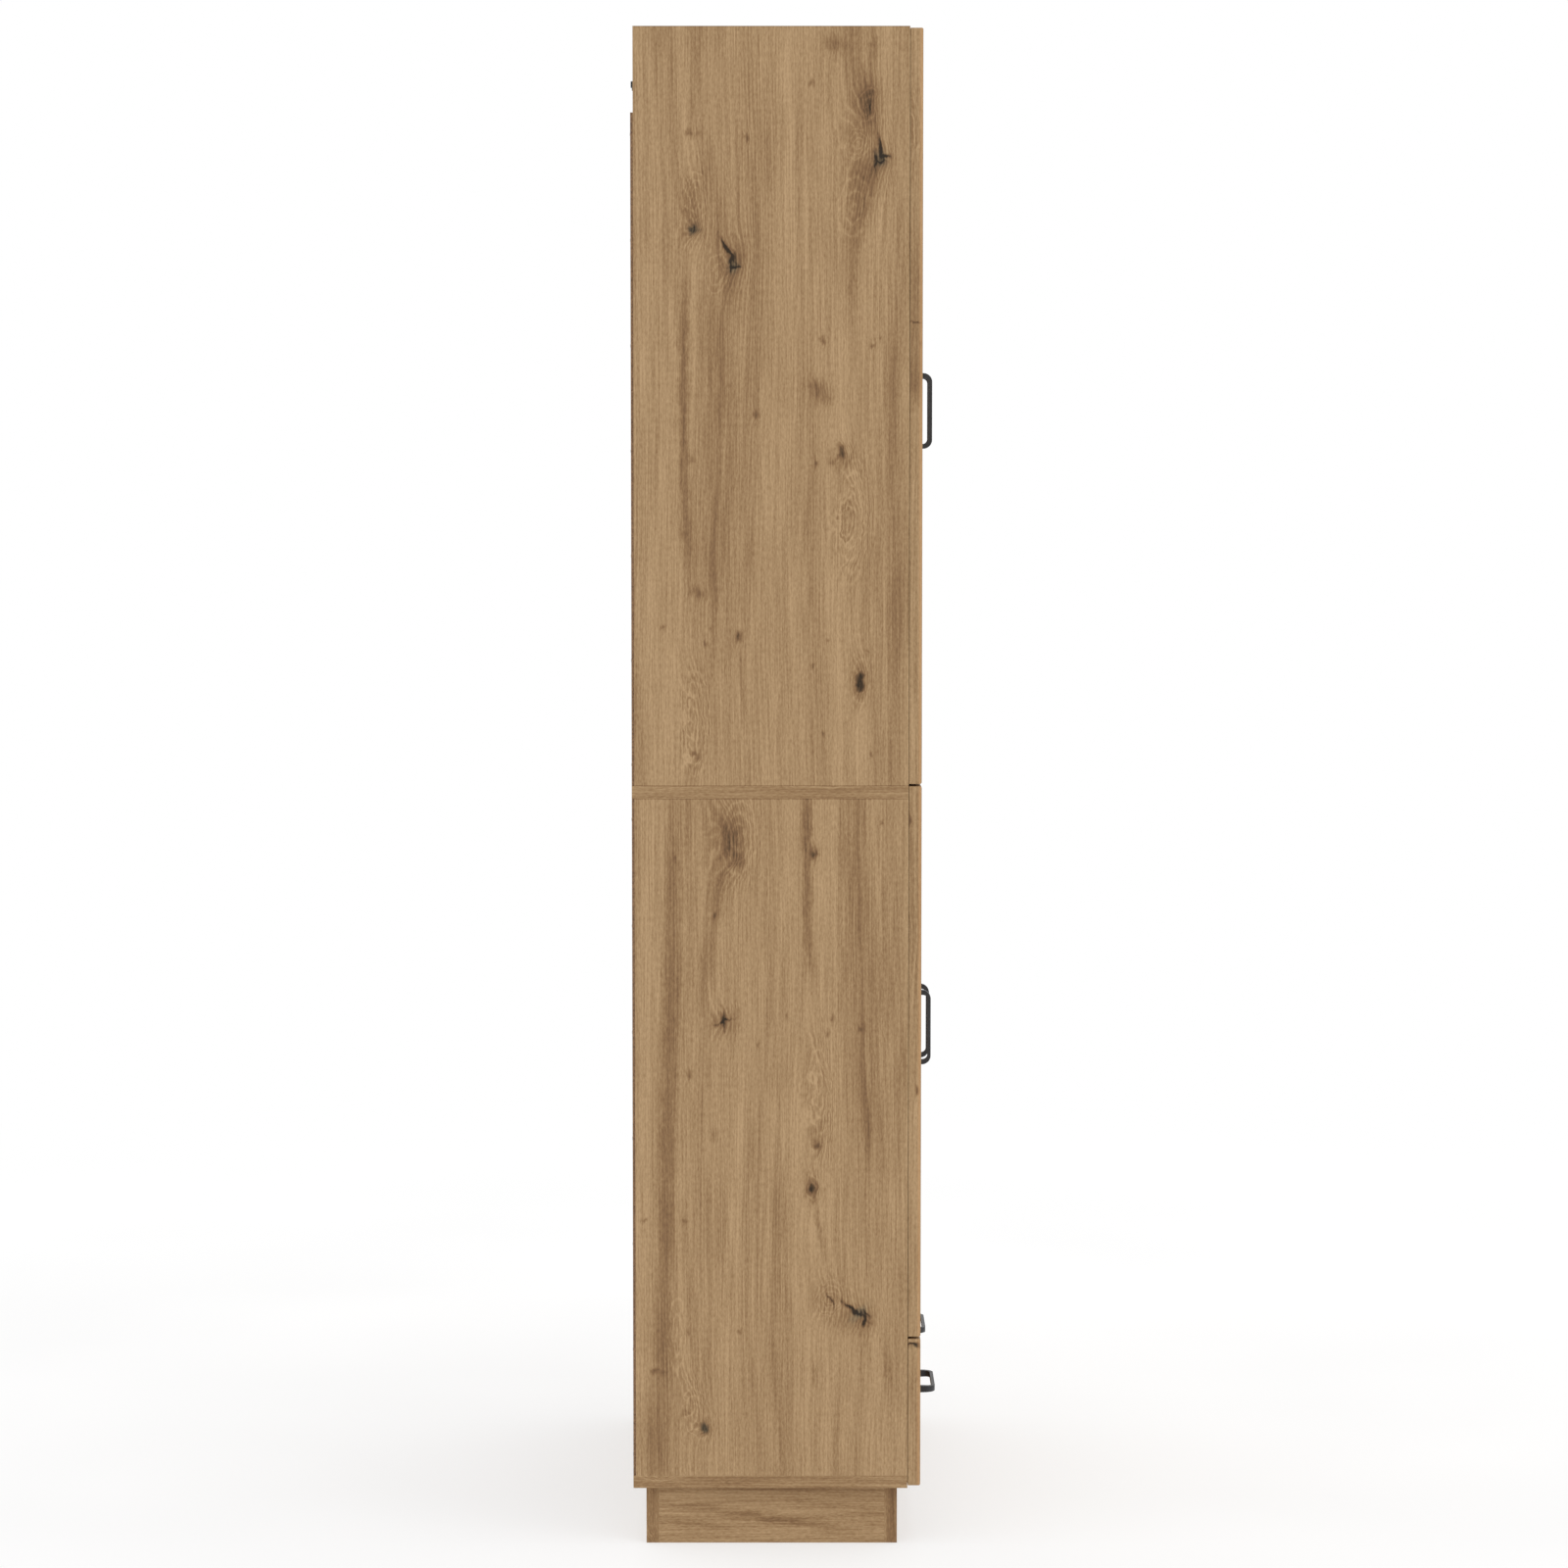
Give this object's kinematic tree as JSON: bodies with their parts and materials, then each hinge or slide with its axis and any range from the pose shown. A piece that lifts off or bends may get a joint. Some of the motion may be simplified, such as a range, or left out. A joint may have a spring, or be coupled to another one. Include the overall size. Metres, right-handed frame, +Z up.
{
  "type": "pantry cabinet",
  "caption": "Tall freestanding pantry cabinet with hinged doors above and below, side-by-side drawers at the foot, and black bow handles.",
  "frame": {"origin": "middle of the footprint, from the handles' faces to the screw heads of the wall brackets, on the floor", "axes": "+Z up; +X to the right seen from the front; the doors face -Y and the wall is at +Y"},
  "size_m": [0.695, 0.3664, 1.8],
  "materials": {
    "oak_board": "matt oak-grain laminate",
    "hardboard": "matt printed hardboard",
    "black_metal": "satin powder coat",
    "plated_steel": "bright nickel plate",
    "zinc_alloy": "dull zinc die casting",
    "beech": "plain beech"
  },
  "bodies": {
    "cabinet": {"plinth_front": "oak_board", "plinth_rear": "oak_board", "plinth_left": "oak_board", "plinth_right": "oak_board", "bottom_panel": "oak_board", "lower_side_left": "oak_board", "lower_side_right": "oak_board", "drawer_divider": "oak_board", "drawer_deck": "oak_board", "lower_shelf": "oak_board", "middle_panel": "oak_board", "upper_side_left": "oak_board", "upper_side_right": "oak_board", "top_panel": "oak_board", "upper_shelf_low": "oak_board", "upper_shelf_high": "oak_board", "rear_rail": "oak_board", "back_upper": "hardboard", "back_lower": "hardboard", "shelf_pins": "plated_steel", "cam_locks": "zinc_alloy", "cam_bolts": "zinc_alloy", "dowels": "beech", "plinth_screws": "plated_steel", "back_nails": "plated_steel", "wall_brackets": "black_metal", "hinge_arms": "plated_steel", "runner_rails": "plated_steel"},
    "upper_left_door": {"upper_left_door": "oak_board", "upper_left_hinge_cups": "plated_steel", "upper_left_handle": "black_metal"},
    "upper_left_links": {"upper_left_hinge_links": "plated_steel"},
    "upper_right_door": {"upper_right_door": "oak_board", "upper_right_hinge_cups": "plated_steel", "upper_right_handle": "black_metal"},
    "upper_right_links": {"upper_right_hinge_links": "plated_steel"},
    "lower_left_door": {"lower_left_door": "oak_board", "lower_left_hinge_cups": "plated_steel", "lower_left_handle": "black_metal"},
    "lower_left_links": {"lower_left_hinge_links": "plated_steel"},
    "lower_right_door": {"lower_right_door": "oak_board", "lower_right_hinge_cups": "plated_steel", "lower_right_handle": "black_metal"},
    "lower_right_links": {"lower_right_hinge_links": "plated_steel"},
    "left_drawer": {"left_drawer_front": "oak_board", "left_drawer_inner_side": "oak_board", "left_drawer_outer_side": "oak_board", "left_drawer_back": "oak_board", "left_drawer_bottom": "hardboard", "left_drawer_handle": "black_metal", "left_drawer_slides": "plated_steel"},
    "left_ball_cages": {"left_ball_cages": "plated_steel"},
    "right_drawer": {"right_drawer_front": "oak_board", "right_drawer_inner_side": "oak_board", "right_drawer_outer_side": "oak_board", "right_drawer_back": "oak_board", "right_drawer_bottom": "hardboard", "right_drawer_handle": "black_metal", "right_drawer_slides": "plated_steel"},
    "right_ball_cages": {"right_ball_cages": "plated_steel"}
  },
  "joints": [
    {"name": "upper_left_link_pivot", "type": "hinge", "parent": "cabinet", "child": "upper_left_links", "pos_m": [-0.3175, -0.14225, 1.35575], "axis": [0, 0, -1], "range_deg": [-28.5, 0]},
    {"name": "upper_left_door_pivot", "type": "hinge", "parent": "upper_left_links", "child": "upper_left_door", "pos_m": [-0.3401, -0.15045, 1.35575], "axis": [0, 0, -1], "range_deg": [0, 123.5]},
    {"name": "upper_right_link_pivot", "type": "hinge", "parent": "cabinet", "child": "upper_right_links", "pos_m": [0.3175, -0.14225, 1.35575], "axis": [0, 0, 1], "range_deg": [-28.5, 0]},
    {"name": "upper_right_door_pivot", "type": "hinge", "parent": "upper_right_links", "child": "upper_right_door", "pos_m": [0.3401, -0.15045, 1.35575], "axis": [0, 0, 1], "range_deg": [0, 123.5]},
    {"name": "lower_left_link_pivot", "type": "hinge", "parent": "cabinet", "child": "lower_left_links", "pos_m": [-0.3175, -0.14225, 0.58175], "axis": [0, 0, -1], "range_deg": [-28.5, 0]},
    {"name": "lower_left_door_pivot", "type": "hinge", "parent": "lower_left_links", "child": "lower_left_door", "pos_m": [-0.3401, -0.15045, 0.58175], "axis": [0, 0, -1], "range_deg": [0, 123.5]},
    {"name": "lower_right_link_pivot", "type": "hinge", "parent": "cabinet", "child": "lower_right_links", "pos_m": [0.3175, -0.14225, 0.58175], "axis": [0, 0, 1], "range_deg": [-28.5, 0]},
    {"name": "lower_right_door_pivot", "type": "hinge", "parent": "lower_right_links", "child": "lower_right_door", "pos_m": [0.3401, -0.15045, 0.58175], "axis": [0, 0, 1], "range_deg": [0, 123.5]},
    {"name": "left_drawer_slide", "type": "slide", "parent": "cabinet", "child": "left_drawer", "axis": [0, -1, 0], "range_m": [0, 0.21]},
    {"name": "left_cage_slide", "type": "slide", "parent": "cabinet", "child": "left_ball_cages", "axis": [0, -1, 0], "range_m": [0, 0.105]},
    {"name": "right_drawer_slide", "type": "slide", "parent": "cabinet", "child": "right_drawer", "axis": [0, -1, 0], "range_m": [0, 0.21]},
    {"name": "right_cage_slide", "type": "slide", "parent": "cabinet", "child": "right_ball_cages", "axis": [0, -1, 0], "range_m": [0, 0.105]}
  ],
  "couplings": [
    {"joint": "upper_left_link_pivot", "follows": "upper_left_door_pivot", "ratio": -0.23},
    {"joint": "upper_right_link_pivot", "follows": "upper_right_door_pivot", "ratio": -0.23},
    {"joint": "lower_left_link_pivot", "follows": "lower_left_door_pivot", "ratio": -0.23},
    {"joint": "lower_right_link_pivot", "follows": "lower_right_door_pivot", "ratio": -0.23},
    {"joint": "left_cage_slide", "follows": "left_drawer_slide", "ratio": 0.5},
    {"joint": "right_cage_slide", "follows": "right_drawer_slide", "ratio": 0.5}
  ]
}
